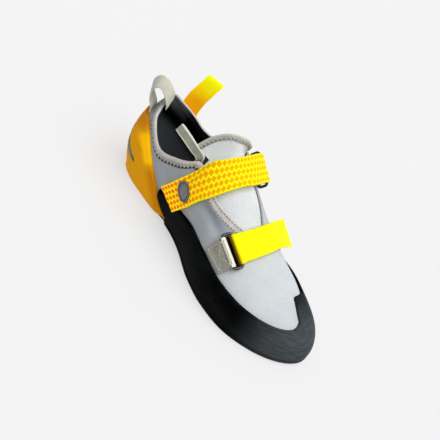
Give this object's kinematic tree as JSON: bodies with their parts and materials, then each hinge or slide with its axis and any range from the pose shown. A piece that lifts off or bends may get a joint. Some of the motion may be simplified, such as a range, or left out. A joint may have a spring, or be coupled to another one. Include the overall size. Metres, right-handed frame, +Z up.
{
  "type": "climbing shoe",
  "caption": "Right climbing shoe with a hollow knit upper, rubber sole, toe rand and heel cup, padded tongue, ring-and-strap closures and pull loops; stands on its sole.",
  "frame": {"origin": "on the floor under the middle of the heel, on the outsole's flat heel spot", "axes": "+X towards the toe, +Y towards the medial side, +Z up from the floor"},
  "size_m": [0.2615, 0.0944, 0.1043],
  "materials": {
    "black_rubber": "matt black sticky rubber with a soft sheen",
    "amber_rubber": "satin amber rubber",
    "insole_board": "dark cloth-faced board",
    "grey_knit": "fine pale grey knit",
    "tongue_knit": "padded pale grey knit with a vertical rib",
    "beige_tape": "woven beige-grey tape",
    "patterned_strap": "woven yellow strap with orange figures",
    "yellow_strap": "bright yellow woven tape",
    "ring_metal": "dark satin wire"
  },
  "bodies": {
    "root": {"outsole": "black_rubber", "rand": "black_rubber", "heel_cup": "amber_rubber", "insole": "insole_board", "upper": "grey_knit", "tongue": "tongue_knit", "collar_binding": "beige_tape", "tongue_binding": "beige_tape", "upper_strap": "patterned_strap", "upper_ring": "ring_metal", "upper_webbing": "beige_tape", "lower_strap": "yellow_strap", "lower_ring": "ring_metal", "lower_webbing": "beige_tape", "heel_loop": "beige_tape", "side_loop": "yellow_strap", "front_loop": "beige_tape"}
  },
  "joints": []
}
